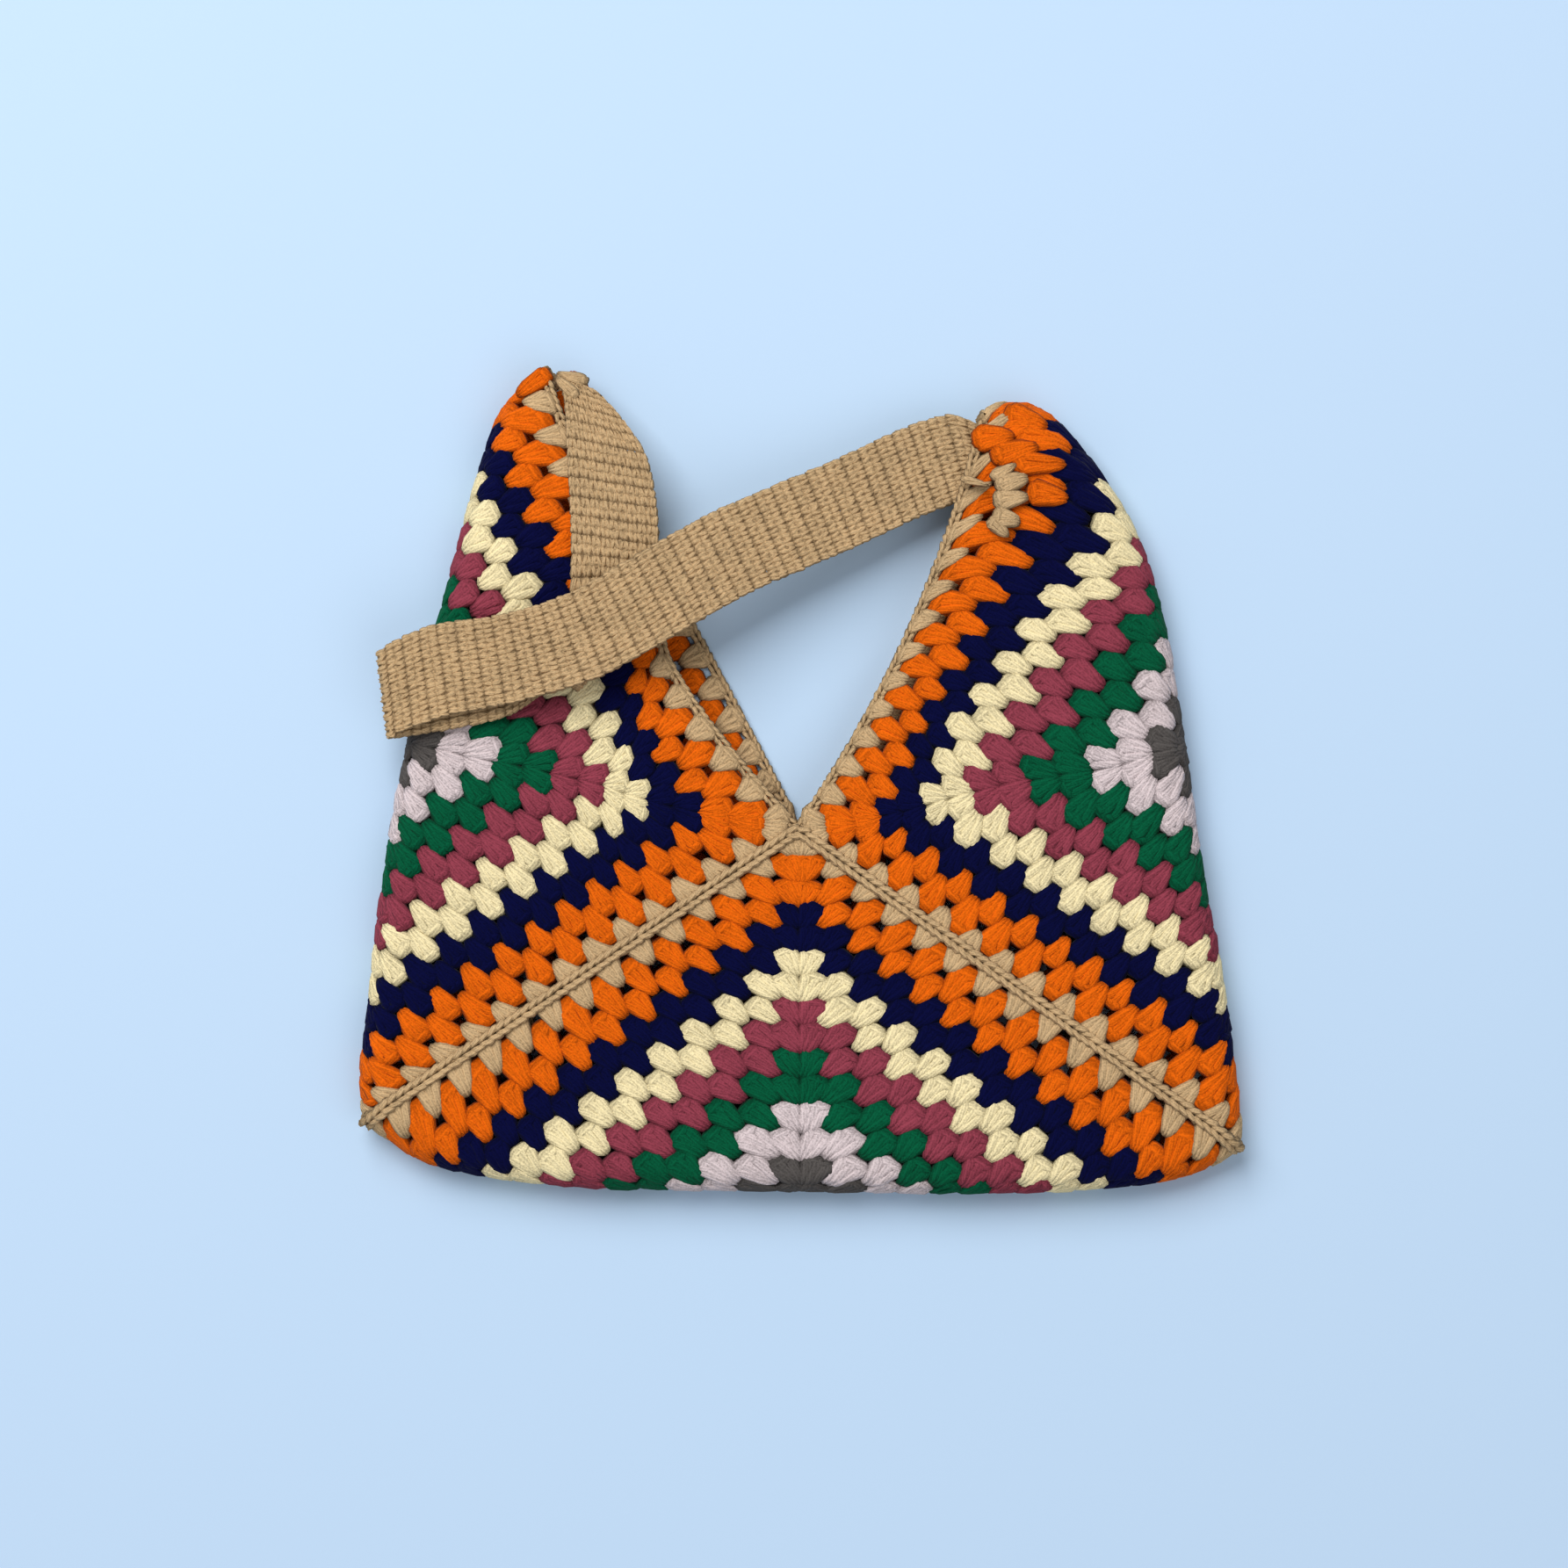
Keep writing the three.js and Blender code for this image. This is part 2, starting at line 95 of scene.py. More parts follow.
# %% The bow of each fold line
# How far each fold line stands out from straight: along, out and slide, as shares.
LEFT_FOLD = [
    (0, 0, 0), (0.06, 0.037, 0), (0.14, 0.049, 0), (0.3, 0.055, 0), (0.5, 0.059, 0),
    (0.7, 0.047, 0), (0.85, 0.03, 0), (0.95, 0.017, 0), (1, 0, 0),
]
RIGHT_FOLD = [
    (0, 0, 0), (0.04, 0.033, -0.04), (0.1, 0.075, -0.07), (0.167, 0.113, -0.045),
    (0.25, 0.132, -0.02), (0.36, 0.123, 0), (0.5, 0.098, 0), (0.65, 0.07, 0),
    (0.8, 0.046, 0), (0.93, 0.02, 0), (1, 0, 0),
]
BOTTOM_FOLD = [
    (0, 0, 0), (0.06, 0.04, 0), (0.13, 0.057, 0), (0.25, 0.067, 0), (0.5, 0.064, 0),
    (0.75, 0.058, 0), (0.9, 0.043, 0), (0.96, 0.025, 0), (1, 0, 0),
]
for title, fold in (("left", LEFT_FOLD), ("right", RIGHT_FOLD), ("bottom", BOTTOM_FOLD)):
    print(title, "fold bows out by at most", max(row[1] for row in fold), "of its length")

# %% The three squares
# The ends of the fold line, its table, the side it bows to, and how far the front and
# the back mouth edges swing from straight.
SQUARES = {
    "bottom_square": (
        "left_corner", "right_corner", BOTTOM_FOLD, -1, (0, 0), (0, 0),
    ),
    "left_square": (
        "left_tip", "left_corner", LEFT_FOLD, -1, (-0.04, -0.01), (0.004, 0.004),
    ),
    "right_square": (
        "right_tip", "right_corner", RIGHT_FOLD, 1, (0.022, -0.012), (0.028, -0.014),
    ),
}

# The strap holds the left square's front down, so its mouth edge swings less there:
# how far the fabric reaches from the fold to the throat, and the share of the swing.
STRAP_HOLD = [(0, 1), (0.155, 0.65), (0.267, 0.3), (0.49, 0.35), (0.62, 1), (1, 1)]
print("squares:", ", ".join(SQUARES))

# %% [markdown]
# ## The folded shape of a square
# A square is planned flat, with a and b running from 0 to 1 along its sides. The
# front throat of the bag is at (1, 1), the back throat at (0, 0), and the fold runs
# between the two other corners. Three corner points and a few offsets place any
# point of the front or back half, and a quarter turn of the fabric on each side of
# the fold lifts the front over the back.

# %% Places and smooth tables
TINY = 1e-4


def flat_point(place):
    return np.array([place[0] * BAG_WIDTH, place[1] * BAG_HEIGHT])


def table_value(rows, column, along):
    """A column of a table at any place along it, on a curve without kinks."""
    knots = np.array([row[0] for row in rows])
    values = np.array([row[column] for row in rows])
    last = len(rows) - 1
    after = np.minimum(np.arange(len(rows)) + 1, last)
    before = np.maximum(np.arange(len(rows)) - 1, 0)
    slopes = (values[after] - values[before]) / (knots[after] - knots[before])
    share = np.clip(along, 0, 1)
    here = np.clip(np.searchsorted(knots, share, side="right") - 1, 0, last - 1)
    step = knots[here + 1] - knots[here]
    u = (share - knots[here]) / step
    rise = (3 - 2 * u) * u * u
    bend = step * u * (1 - u) * ((1 - u) * slopes[here] - u * slopes[here + 1])
    return values[here] + (values[here + 1] - values[here]) * rise + bend


# %% The profile across the fold
def fold_profile(depth):
    """Reach from the fold to the throat and height over the table. depth is 0 at the
    fold, 1 at the front throat and -1 at the back throat."""
    diagonal = SQUARE_SIDE / math.sqrt(2)
    slope = np.abs(depth) * diagonal
    angle = np.minimum(slope / ROLL_RADIUS, math.pi / 2)
    beyond_roll = np.maximum(slope - ROLL_RADIUS * math.pi / 2, 0)
    full_reach = diagonal + ROLL_RADIUS * (1 - math.pi / 2)
    reach = (ROLL_RADIUS * (1 - np.cos(angle)) + beyond_roll) / full_reach
    sag = 1 - MOUTH_SAG * np.maximum(depth, 0) ** 2
    height = FABRIC_THICKNESS / 2 + ROLL_RADIUS * (1 + np.sign(depth) * np.sin(angle) * sag)
    return reach, height


front_heights = fold_profile(np.array([0.0, 0.5, 1.0]))[1]
print("height at the fold, half way and throat, mm:", np.round(front_heights / MM, 1))

# %% A point of a folded square
def square_point(square, a, b):
    first_name, last_name, fold, side, front_bow, back_bow = SQUARES[square]
    depth = a + b - 1
    is_front = depth >= 0
    reach, height = fold_profile(depth)
    flatness = 1 - np.abs(depth)
    at_throat = np.abs(flatness) < TINY
    flatness = np.where(at_throat, TINY, flatness)
    near_first = np.where(is_front, 1 - a, b)
    near_last = np.where(is_front, 1 - b, a)
    scale = np.where(at_throat, 1, (1 - reach) / flatness)
    first = flat_point(POINTS[first_name])
    last = flat_point(POINTS[last_name])
    throat = flat_point(POINTS["throat"])
    chord = last - first
    outward = side * np.array([-chord[1], chord[0]])
    along = near_last / flatness
    spread = (1 - reach) ** 2
    bow = np.where(is_front[..., None], flat_point(front_bow), flat_point(back_bow))
    if square == "left_square":
        hold = np.where(is_front, table_value(STRAP_HOLD, 1, reach), 1)
        bow = bow * hold[..., None]
    plan = (
        (near_first * scale)[..., None] * first
        + (near_last * scale)[..., None] * last
        + reach[..., None] * throat
        + (table_value(fold, 1, along) * spread)[..., None] * outward
        + (table_value(fold, 2, along) * spread)[..., None] * chord
        + (4 * reach * near_first * scale)[..., None] * bow
    )
    return np.concatenate([plan, height[..., None]], axis=-1)


# %% Directions out of the fabric
PLAN_STEP = 0.001
NEAR_THROAT = np.array([0.8])


def unit(vectors):
    return vectors / np.linalg.norm(vectors, axis=-1, keepdims=True)


def square_normal(square, a, b):
    low_a = square_point(square, a - PLAN_STEP, b)
    high_a = square_point(square, a + PLAN_STEP, b)
    low_b = square_point(square, a, b - PLAN_STEP)
    high_b = square_point(square, a, b + PLAN_STEP)
    return unit(np.cross(high_a - low_a, high_b - low_b))


def facing(square):
    """1 where the plan's normal points out of the bag, and -1 where it points in."""
    return np.sign(square_normal(square, NEAR_THROAT, NEAR_THROAT)[0, 2])


def fabric_point(square, a, b, lift):
    normal = square_normal(square, a, b) * facing(square)
    return square_point(square, a, b) + normal * lift[..., None]


for name in SQUARES:
    middle = square_point(name, np.array([0.5]), np.array([0.5]))[0]
    print(name, "has its middle at mm", np.round(middle / MM, 1), "facing", facing(name))

# %% [markdown]
# ## Yarn
# All the yarn is one kind: a matt worsted blend, plied and soft, about 2.8 mm thick.
# It scatters light and has a short fuzz, so it is rough with very little shine. Each
# stitch carries its own thread map, counted in strands: u round the stitch and v
# along it. Broad waves on that map are the strands of a post, and fine slanting
# waves are the plies, which are a little over 1 mm wide. The fuzz is finer than a
# render can show, so it is drawn as soft lumps of about 0.9 mm. Shade is painted
# into the colour: it is deepest between the strands and on the sides of each stitch,
# and plain on their crowns, where the attribute top, which each stitch also carries,
# is highest. Broad patches stand for uneven dye.

# %% Colours
YARN_COLOURS = {
    "grey": "#5b5653",
    "lilac": "#dccbcb",
    "green": "#055a3a",
    "maroon": "#95404f",
    "cream": "#f8e6b4",
    "navy": "#070a38",
    "orange": "#ec680c",
    "beige": "#cfae82",
}


def linear_colour(hex_colour):
    channels = [int(hex_colour[i : i + 2], 16) / 255 for i in (1, 3, 5)]
    linear = [c / 12.92 if c <= 0.04045 else ((c + 0.055) / 1.055) ** 2.4 for c in channels]
    return (*linear, 1.0)


print("beige, linear:", [round(c, 3) for c in linear_colour(YARN_COLOURS["beige"])])


# %% The node helper
def add_node(material, kind, links=(), inputs=None, **settings):
    """One node with its settings, its input values by name or number, and its links."""
    node = material.node_tree.nodes.new(kind)
    for key, value in settings.items():
        setattr(node, key, value)
    for key, value in (inputs or {}).items():
        node.inputs[key].default_value = value
    for source, target in links:
        material.node_tree.links.new(source, node.inputs[target])
    return node


# %% The strands and plies of the yarn
STRAND = 2.8 * MM
PLIES = 2
STRAND_SLANT = 0.3
PLY_SLANT = 1.5


def add_wave(material, thread, around, along):
    """A sine wave that slants across the thread map, for strands or for plies."""
    turn = add_node(
        material, "ShaderNodeVectorMath", [(thread, 0)],
        {1: (around * 2 * math.pi, along * 2 * math.pi, 0)}, operation="DOT_PRODUCT",
    )
    return add_node(material, "ShaderNodeMath", [(turn.outputs["Value"], 0)], operation="SINE")


# %% Sizes and shares in the yarn's relief and colour
FUZZ_SIZE = 0.9 * MM
PATCH_SIZE = 12 * MM
RELIEF = 0.12 * MM
PLY_RELIEF = 0.8
FUZZ_RELIEF = 4.0
PATCH_SHADE = 0.25
FUZZ_SHADE = 0.65
TWIST_SHADE = 0.07

# The colour ramp of painted shade: how much of the colour is left in the painted
# shade of the gaps and of the sides, and the levels where those end.
GAP_SHADE = 0.08
GAP_SHADE_TO = 0.28
SHADED = 0.6
SHADED_AT = 0.74
print("fuzz and patches, mm:", round(FUZZ_SIZE / MM, 1), round(PATCH_SIZE / MM, 1))


# %% The yarn material
def darker(colour, share):
    return (*(channel * share for channel in colour[:3]), 1.0)


def worsted_yarn(colour_name):
    # Plied worsted yarn: matt and soft, with strands, plies and fuzz that catch the light.
    material = bpy.data.materials.new(f"worsted_yarn_{colour_name}")
    material.use_nodes = True
    tree = material.node_tree
    shader = tree.nodes["Principled BSDF"]
    shader.inputs["Roughness"].default_value = 0.92
    shader.inputs["Sheen Weight"].default_value = 0.03
    shader.inputs["Sheen Roughness"].default_value = 0.5
    shader.inputs["Specular IOR Level"].default_value = 0.04
    base = linear_colour(YARN_COLOURS[colour_name])
    place = add_node(material, "ShaderNodeTexCoord")
    thread = add_node(material, "ShaderNodeUVMap", uv_map="thread")
    strands = add_wave(material, thread.outputs[0], 1, STRAND_SLANT)
    plies = add_wave(material, thread.outputs[0], PLIES, PLY_SLANT)
    on_object = [(place.outputs["Object"], "Vector")]
    fuzz = add_node(
        material, "ShaderNodeTexNoise", on_object, {"Scale": 1 / FUZZ_SIZE, "Detail": 3}
    )
    patches = add_node(material, "ShaderNodeTexNoise", on_object, {"Scale": 1 / PATCH_SIZE})
    twist = add_node(
        material, "ShaderNodeMath", [(plies.outputs[0], 0), (strands.outputs[0], 2)],
        {1: PLY_RELIEF}, operation="MULTIPLY_ADD",
    )
    relief = add_node(
        material, "ShaderNodeMath", [(fuzz.outputs["Fac"], 0), (twist.outputs[0], 2)],
        {1: FUZZ_RELIEF}, operation="MULTIPLY_ADD",
    )
    bump = add_node(
        material, "ShaderNodeBump", [(relief.outputs[0], "Height")],
        {"Strength": 0.6, "Distance": RELIEF},
    )
    # Painted shade: the colour ramp darkens the yarn where the attribute top is low, on the sides
    # of a stitch, and where the strands and plies dip.
    top = add_node(material, "ShaderNodeAttribute", attribute_name="top")
    level = add_node(
        material, "ShaderNodeMath", [(patches.outputs["Fac"], 0), (top.outputs["Fac"], 2)],
        {1: PATCH_SHADE}, operation="MULTIPLY_ADD",
    )
    specks = add_node(
        material, "ShaderNodeMath", [(fuzz.outputs["Fac"], 0), (level.outputs[0], 2)],
        {1: FUZZ_SHADE}, operation="MULTIPLY_ADD",
    )
    painted_shade = add_node(
        material, "ShaderNodeMath", [(twist.outputs[0], 0), (specks.outputs[0], 2)],
        {1: TWIST_SHADE}, operation="MULTIPLY_ADD",
    )
    ramp = add_node(material, "ShaderNodeValToRGB", [(painted_shade.outputs[0], "Fac")])
    ramp.color_ramp.elements[0].position = GAP_SHADE_TO
    ramp.color_ramp.elements[0].color = darker(base, GAP_SHADE)
    ramp.color_ramp.elements[1].position = SHADED_AT
    ramp.color_ramp.elements[1].color = darker(base, SHADED)
    ramp.color_ramp.elements.new(1.0).color = base
    tree.links.new(ramp.outputs["Color"], shader.inputs["Base Color"])
    tree.links.new(bump.outputs["Normal"], shader.inputs["Normal"])
    return material


YARNS = {name: worsted_yarn(name) for name in YARN_COLOURS}
print("yarns:", ", ".join(YARNS))

# %% [markdown]
# ## One stitch of each kind
# A treble cluster is a fan: three posts share one hole at the bottom and spread to
# three heads at the top. The posts are as long as two rounds, because the foot hangs
# over the round below, and that is what makes the zigzag between two colours. A flat
# pad across the heads stands for the chain loops that close them. Each post is a
# plump strand, so it starts as a sphere that is pulled long and filled out at its
# ends. Modelling every loop of yarn would take a hundred times the faces and look the
# same from arm's length.

# %% Strands
rng = np.random.default_rng(15)


def add_strand(
    shape, start, end, width, thickness, flare=0.0, points=(0.7, 0.7), segments=8, rings=6
):
    """A plump strand from start to end, in millimetres. flare widens and flattens its
    end and narrows its start. points are powers for the start and the end, and a
    lower one makes it blunter."""
    start, end = Vector(start) * MM, Vector(end) * MM
    reach = end - start
    made = bmesh.ops.create_uvsphere(
        shape, u_segments=segments, v_segments=rings, radius=0.5, calc_uvs=True
    )
    verts = made["verts"]
    for vert in verts:
        share = vert.co.z * 2
        vert.co.x *= 1 + flare * share
        vert.co.y *= 1 - flare * share / 2
        vert.co.z = math.copysign(abs(share) ** points[share > 0], share) / 2
    placed = (
        Matrix.Translation((start + end) / 2)
        @ Matrix.Rotation(-math.atan2(reach.x, reach.y), 4, "Z")
        @ Matrix.Rotation(-math.pi / 2, 4, "X")
        @ Matrix.Diagonal((width * MM, thickness * MM, reach.length, 1))
    )
    bmesh.ops.transform(shape, matrix=placed, verts=verts)
    thread = shape.loops.layers.uv["thread"]
    around = max(2, round(math.pi / 2 * (width + thickness) * MM / STRAND))
    for face in {face for vert in verts for face in vert.link_faces}:
        for loop in face.loops:
            u, v = loop[thread].uv
            loop[thread].uv = (u * around, v * reach.length / STRAND)


def new_stitch():
    shape = bmesh.new()
    shape.loops.layers.uv.new("thread")
    return shape


def finished_stitch(shape, name):
    mesh = bpy.data.meshes.new(name)
    bmesh.ops.recalc_face_normals(shape, faces=shape.faces)
    shape.to_mesh(mesh)
    shape.free()
    print(name, "has", sum(len(face.vertices) - 2 for face in mesh.polygons), "triangles")
    return mesh


# %% The treble cluster
# Foot and head of each post, width, thickness, and the same for the pad, in millimetres.
POSTS = [((-1.0, -7.2), (-4.3, 9.2)), ((1.0, -7.2), (4.3, 9.2)), ((0.0, -7.6), (0.0, 10.6))]
POST_SIZE = (6.2, 5.6)
PAD_ENDS = ((-5.5, 7.4, 0), (5.5, 7.4, 0))
PAD_SIZE = (7.8, 4.9)

cluster = new_stitch()
for foot, head in POSTS:
    add_strand(
        cluster, (*foot, 0), (*head, 0), *POST_SIZE, flare=0.2, points=(0.8, 0.42), rings=7
    )
add_strand(cluster, *PAD_ENDS, *PAD_SIZE, points=(0.6, 0.6), rings=7)
CLUSTER = finished_stitch(cluster, "treble_cluster")

# %% The single crochet stitch, the strap's rim and the chain link
# Two legs lie side by side in a V, and the single crochet has a flat core behind them.
single = new_stitch()
for side in (-1, 1):
    add_strand(single, (side * 0.5, -3.1, 0), (side * 2.0, 3.0, 0), 3.0, 5.2, segments=6, rings=5)
add_strand(single, (-3.5, 0, 0), (3.5, 0, 0), 8.0, 3.4, segments=6, rings=4)
SINGLE = finished_stitch(single, "single_crochet")

rim = new_stitch()
add_strand(rim, (0.5, -3.1, 0), (-0.5, 3.1, 0), 2.6, 4.4, segments=6, rings=5)
RIM = finished_stitch(rim, "strap_rim_stitch")

link = new_stitch()
for side in (-1, 1):
    add_strand(link, (side * 0.7, -4.6, 0), (side * 2.8, 4.2, 0), 3.8, 6.4, rings=5)
LINK = finished_stitch(link, "chain_link")

# %% [markdown]
# ## Laying stitches
# Hundreds of stitches make one mesh: the corners of the one stitch are copied as an
# array, moved in the flat plan, and bent on to the fabric all together. The copies
# keep the stitch's own thread map. Small seeded changes of angle and size keep the
# rows from looking printed, and so do small lumps. Stitches that lie on the table are
# pressed flat there.

# %% Joining copies into one mesh
TABLE_GAP = 0.2 * MM
LUMPS = 0.22 * MM
TOP_LEVEL = 0.5


def stitch_corners(mesh):
    corners = np.empty(len(mesh.vertices) * 3)
    mesh.vertices.foreach_get("co", corners)
    return corners.reshape(-1, 3)


def joined_stitches(name, stitch, corners, yarn_numbers, yarns, turned=False, painted_shade=1.0):
    """corners holds one row of placed points for each copy of the stitch. turned says
    that the plan faces inwards. The last argument sets the painted shade: how far the
    attribute top falls from the crown of a stitch to its sides, where the yarn's colour
    is painted darker."""
    copies, points = corners.shape[:2]
    corners = corners + rng.normal(0, LUMPS, corners.shape)
    heights = np.abs(stitch_corners(stitch)[:, 2])
    # Painted shade: top is low on the sides of a stitch, where the colour ramp darkens the yarn.
    tops = (1 - painted_shade * (1 - heights / heights.max())) * TOP_LEVEL
    corners[..., 2] = np.maximum(corners[..., 2], TABLE_GAP)
    loops = np.empty(len(stitch.loops), dtype=int)
    stitch.loops.foreach_get("vertex_index", loops)
    starts = np.empty(len(stitch.polygons), dtype=int)
    stitch.polygons.foreach_get("loop_start", starts)
    threads = np.empty(len(stitch.loops) * 2)
    stitch.uv_layers["thread"].data.foreach_get("uv", threads)
    steps = np.arange(copies)[:, None]
    mesh = bpy.data.meshes.new(name)
    mesh.vertices.add(copies * points)
    mesh.vertices.foreach_set("co", corners.ravel())
    mesh.loops.add(copies * len(loops))
    mesh.loops.foreach_set("vertex_index", (loops + steps * points).ravel())
    mesh.polygons.add(copies * len(starts))
    mesh.polygons.foreach_set("loop_start", (starts + steps * len(loops)).ravel())
    mesh.polygons.foreach_set("material_index", np.repeat(yarn_numbers, len(starts)))
    mesh.uv_layers.new(name="thread").data.foreach_set("uv", np.tile(threads, copies))
    top = mesh.attributes.new("top", "FLOAT", "POINT")
    top.data.foreach_set("value", np.tile(tops, copies))
    mesh.update(calc_edges=True)
    mesh.validate()
    mesh.shade_smooth()
    if turned:
        mesh.flip_normals()
    for yarn in yarns:
        mesh.materials.append(YARNS[yarn])
    piece = bpy.data.objects.new(name, mesh)
    bpy.context.scene.collection.objects.link(piece)
    triangles = copies * sum(len(face.vertices) - 2 for face in stitch.polygons)
    print(name, "has", copies, "stitches and", triangles, "triangles")
    return piece


# %% [markdown]
# ## The three granny squares
# The plan of a square is four equal sides turned about its middle. On each side,
# round n has n clusters, and every other round is half a cluster out of step, as
# each cluster is worked between two of the round below. The two clusters at a corner
# share a hole, so they are a little small and lean together, and in the outer rounds
# one more cluster fills each corner. The first round is short, as it grows from a
# ring, and so is the last, which is worked tight and broad for the seam. The heads of
# the round before it are long, and stand out between its clusters.

# %% Planning the rounds of a square
ROUND_LIST = sorted(set(ROUND_YARNS), key=ROUND_YARNS.index)
WOBBLE_TURN = math.radians(3)
WOBBLE_SIZE = 0.04
LAST_ROUND_HEIGHT = 0.77
LAST_ROUND_FLARE = 0.15
LAST_ROUND_THICKNESS = 1.25
BEFORE_LAST_REACH = 0.3
BEFORE_LAST_WIDTH = 1.12
FIRST_ROUND_HEIGHT = 0.6
CORNER_TURN = math.radians(20)
CORNER_SHIFT = 2.5 * MM
CORNER_WIDTH = 0.9
CORNER_REACH = 0.86
FIRST_FILLED_ROUND = 13


def cluster_places():
    """Place across and up, quarter turns, yarn, round and lean of every cluster."""
    rows = []
    for number, yarn in enumerate(ROUND_YARNS, start=1):
        for quarter in range(4):
            for place in range(number):
                x = (place - (number - 1) / 2) * CLUSTER_WIDTH
                y = (number - 1) * ROUND_HEIGHT
                end = (place == number - 1) * 1 - (place == 0) * 1
                x -= end * CORNER_SHIFT
                y += abs(end) * CORNER_SHIFT
                lean = end * CORNER_TURN
                rows.append((x, y, quarter, ROUND_LIST.index(yarn), number, lean))
            if number >= FIRST_FILLED_ROUND:
                x = y = (number - 1) * ROUND_HEIGHT
                rows.append((x, y, quarter, ROUND_LIST.index(yarn), number, math.pi / 4))
    return np.array(rows)


CLUSTER_PLACES = cluster_places()
print("clusters in a square:", len(CLUSTER_PLACES))


# %% [markdown]
# The real squares don't lie quite evenly: near the folds the rounds have slid a few
# millimetres towards the ends. A short table for each square gives that slide along
# the fold, and it fades towards the throat, so the edges stay where they are.

# %% Slides of the rounds
# Place along the fold and slide there, as shares of the fold's length.
SLIDES = {
    "bottom_square": [
        (0, 0), (0.12, -0.03), (0.2, -0.042), (0.3, -0.036), (0.42, -0.025), (0.5, 0),
        (0.58, 0.024), (0.7, 0.027), (0.85, 0.024), (0.95, 0.01), (1, 0),
    ],
    "left_square": [
        (0, 0), (0.1, -0.022), (0.3, -0.022), (0.43, 0), (0.54, 0.014), (0.75, 0.022),
        (0.93, 0.024), (1, 0),
    ],
    "right_square": [(0, 0), (0.2, 0), (0.33, -0.025), (0.45, -0.022), (0.6, 0), (1, 0)],
}
SLIDE_FADE = 3

# The right square's outer rounds are pushed together along the front of the mouth:
# how far by the place b across the rounds, and its share by the place a along them.
MOUTH_PUSH = [(0, 0), (0.55, 0), (0.8, 0.036), (0.93, 0.012), (1, 0)]
PUSH_SHARE = [
    (0, 0), (0.2, -0.1), (0.3, -0.35), (0.43, 0.5), (0.575, 1), (0.675, 1.35), (0.8, 0.7),
    (1, 0),
]
PUSH_FADE_DEPTH = 0.2
print("largest push, mm:", round(max(row[1] for row in MOUTH_PUSH) * SQUARE_SIDE / MM, 1))


def slid(name, a, b):
    """The plan's points after the slide along the fold and the push to the mouth."""
    depth = a + b - 1
    flatness = np.maximum(1 - np.abs(depth), TINY)
    along = np.where(depth >= 0, 1 - b, a) / flatness
    move = table_value(SLIDES[name], 1, along) * flatness**SLIDE_FADE
    if name != "right_square":
        return a + move, b - move
    push = table_value(MOUTH_PUSH, 1, b) * table_value(PUSH_SHARE, 1, a)
    on_front = np.clip(depth / PUSH_FADE_DEPTH + 0.5, 0, 1)
    return a + move, b - move + push * on_front


# %% Clusters as each round shapes them
def shaped_clusters(number, lean, size):
    """Corners of every cluster before it is turned and placed. x is across it, y up
    and z out of the fabric."""
    own = stitch_corners(CLUSTER)[None, :, :] * size[..., None]
    is_last = number == len(ROUND_YARNS)
    is_corner = lean != 0
    is_head = own[..., 1] > 0
    is_long = (number == len(ROUND_YARNS) - 1) & is_head
    flare = np.clip(own[..., 1] / ROUND_HEIGHT, 0, 1) * LAST_ROUND_FLARE * is_last
    own[..., 0] *= (1 + flare) * np.where(is_corner, CORNER_WIDTH, 1)
    own[..., 0] *= np.where(is_long, BEFORE_LAST_WIDTH, 1)
    own[..., 1] *= np.where(is_corner & is_head, CORNER_REACH, 1)
    own[..., 1] *= 1 + is_long * BEFORE_LAST_REACH
    own[..., 2] *= np.where(is_last, LAST_ROUND_THICKNESS, 1)
    height = np.where(number == 1, FIRST_ROUND_HEIGHT, 1)
    height = np.where(is_last, LAST_ROUND_HEIGHT, height)
    own[..., 1] = ROUND_HEIGHT - (ROUND_HEIGHT - own[..., 1]) * height
    return own


# %% Folding the squares
def turned_by(x, y, angle):
    cosine, sine = np.cos(angle), np.sin(angle)
    return x * cosine - y * sine, x * sine + y * cosine


def folded_square(name):
    middle_x, middle_y, quarter, yarn, number, lean = CLUSTER_PLACES.T[:, :, None]
    turn = rng.normal(0, WOBBLE_TURN, lean.shape) - lean
    size = 1 + rng.normal(0, WOBBLE_SIZE, lean.shape)
    own = shaped_clusters(number, lean, size)
    x, y = turned_by(own[..., 0], own[..., 1], turn)
    across, up = turned_by(x + middle_x, y + middle_y, quarter * math.pi / 2)
    a, b = slid(name, 0.5 + across / SQUARE_SIDE, 0.5 + up / SQUARE_SIDE)
    corners = fabric_point(name, a, b, own[..., 2])
    piece = joined_stitches(
        f"{name}_trebles", CLUSTER, corners, yarn.ravel().astype(int), ROUND_LIST,
        turned=facing(name) < 0,
    )
    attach(piece, "root")
    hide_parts(name)


for name in SQUARES:
    folded_square(name)

# %% [markdown]
# ## The seam and the mouth edging
# Both are rows of chain-like loops along a line. The line is taken from the edges of
# the squares, and a frame of three directions at each link turns the link along the
# line, across it and out of the fabric.

# %% Lines along the edges of the squares
LINE_STEPS = 80
END_GAP = 0.004


def plan_edge(edge, depth):
    """Points of one side of the plan, from the fold at depth 0 to a throat at 1."""
    low, high = np.zeros_like(depth), np.ones_like(depth)
    return {
        "front b": (depth, high),
        "front a": (high, depth),
        "back b": (1 - depth, low),
        "back a": (low, 1 - depth),
    }[edge]


def edge_line(runs):
    """Points and directions out of the fabric along a closed loop of square edges,
    each to or from the throat. The front edges come first."""
    shares = np.linspace(0, 1, LINE_STEPS, endpoint=False)
    points, normals = [], []
    for square, edge, way in runs:
        depth = shares if way == "to throat" else 1 - shares
        a, b = plan_edge(edge, np.clip(depth, END_GAP, 1 - END_GAP))
        points.append(square_point(square, a, b))
        normals.append(square_normal(square, a, b) * facing(square))
    return np.concatenate(points), np.concatenate(normals)


